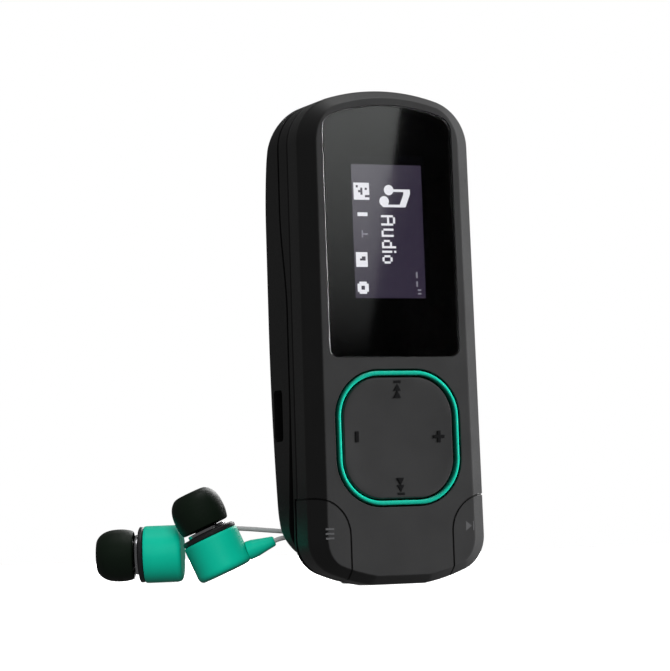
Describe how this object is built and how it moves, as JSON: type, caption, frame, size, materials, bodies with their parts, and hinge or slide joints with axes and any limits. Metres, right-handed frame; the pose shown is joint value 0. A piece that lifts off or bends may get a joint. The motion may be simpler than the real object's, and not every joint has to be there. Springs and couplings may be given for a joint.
{
  "type": "digital audio player",
  "caption": "Slim clip-on digital audio player with a gloss display window, a rocking ringed pad, corner keys, a sprung back clip and wired in-ear earphones.",
  "frame": {"origin": "middle of the player's underside, earphones left out", "axes": "+Z along the player's length, +X to its right seen from the front, front face towards -Y"},
  "size_m": [0.0738, 0.08, 0.0812],
  "materials": {
    "shell": "fine satin, dark grey",
    "side_shell": "fine satin, nearly black",
    "window": "high gloss black",
    "display": "dark violet panel, lit",
    "turquoise_plastic": "semi-gloss turquoise",
    "black_plastic": "moulded black",
    "silicone": "soft matte silicone",
    "silver": "satin",
    "steel": "plated steel",
    "circuit_board": "green solder mask",
    "battery_foil": "laminated foil pouch",
    "ribbon": "amber flexible film",
    "red_insulation": "red wire insulation",
    "black_rubber": "soft black moulding",
    "plug_metal": "bright plated contacts",
    "lead_grey": "smooth grey cord"
  },
  "bodies": {
    "player": {"front_housing": "shell", "rear_housing": "side_shell", "display_window": "window", "lcd_panel": "display", "nav_ring": "turquoise_plastic", "left_bud_housing": "turquoise_plastic", "right_bud_housing": "turquoise_plastic", "left_bud_relief": "turquoise_plastic", "right_bud_relief": "turquoise_plastic", "lcd_holder": "black_plastic", "processor_chip": "black_plastic", "flash_chip": "black_plastic", "radio_tuner_chip": "black_plastic", "headphone_jack": "black_plastic", "left_bud_bezel": "black_plastic", "right_bud_bezel": "black_plastic", "left_ear_tip": "silicone", "right_ear_tip": "silicone", "left_bud_nozzle": "silver", "right_bud_nozzle": "silver", "case_screw_lower_left": "steel", "case_screw_lower_right": "steel", "case_screw_upper_left": "steel", "case_screw_upper_right": "steel", "pad_switch_up": "steel", "pad_switch_down": "steel", "pad_switch_left": "steel", "pad_switch_right": "steel", "corner_switch_left": "steel", "corner_switch_right": "steel", "usb_socket": "steel", "microsd_socket": "steel", "clip_pin": "steel", "clip_spring": "steel", "main_board": "circuit_board", "battery": "battery_foil", "display_ribbon": "ribbon", "battery_lead_red": "red_insulation", "battery_lead_black": "black_rubber", "hank_tie": "black_rubber", "lead_splitter": "black_rubber", "plug_relief": "black_rubber", "plug_body": "black_rubber", "plug_contacts": "plug_metal", "main_lead_hank": "lead_grey", "twin_lead_hank": "lead_grey", "left_lead": "lead_grey", "right_lead": "lead_grey", "main_lead_splitter_end": "lead_grey", "left_lead_splitter_end": "lead_grey", "right_lead_splitter_end": "lead_grey", "main_lead_plug_end": "lead_grey"},
    "clip": {"clip": "side_shell", "clip_grip": "black_rubber"},
    "pad_pivot": {"pad_pivot": "black_rubber"},
    "nav_pad": {"nav_pad": "shell"},
    "left_corner_button": {"left_corner_button": "shell"},
    "right_corner_button": {"right_corner_button": "shell"}
  },
  "joints": [
    {"name": "clip_hinge", "type": "hinge", "parent": "player", "child": "clip", "pos_m": [0, 0.0036, 0.028], "axis": [-1, 0, 0], "range_deg": [0, 4.2], "stiffness_Nm_per_rad": 0.8, "springref_deg": -5.73},
    {"name": "pad_tilt_up_down", "type": "hinge", "parent": "player", "child": "pad_pivot", "pos_m": [0, -0.0064, 0.0238], "axis": [1, 0, 0], "range_deg": [-2, 2], "stiffness_Nm_per_rad": 0.4},
    {"name": "pad_tilt_left_right", "type": "hinge", "parent": "pad_pivot", "child": "nav_pad", "pos_m": [0, -0.0064, 0.0238], "axis": [0, 0, 1], "range_deg": [-2, 2], "stiffness_Nm_per_rad": 0.4},
    {"name": "left_corner_press", "type": "slide", "parent": "player", "child": "left_corner_button", "axis": [0, 1, 0], "range_m": [0, 0.0003], "stiffness_N_per_m": 3000},
    {"name": "right_corner_press", "type": "slide", "parent": "player", "child": "right_corner_button", "axis": [0, 1, 0], "range_m": [0, 0.0003], "stiffness_N_per_m": 3000}
  ]
}
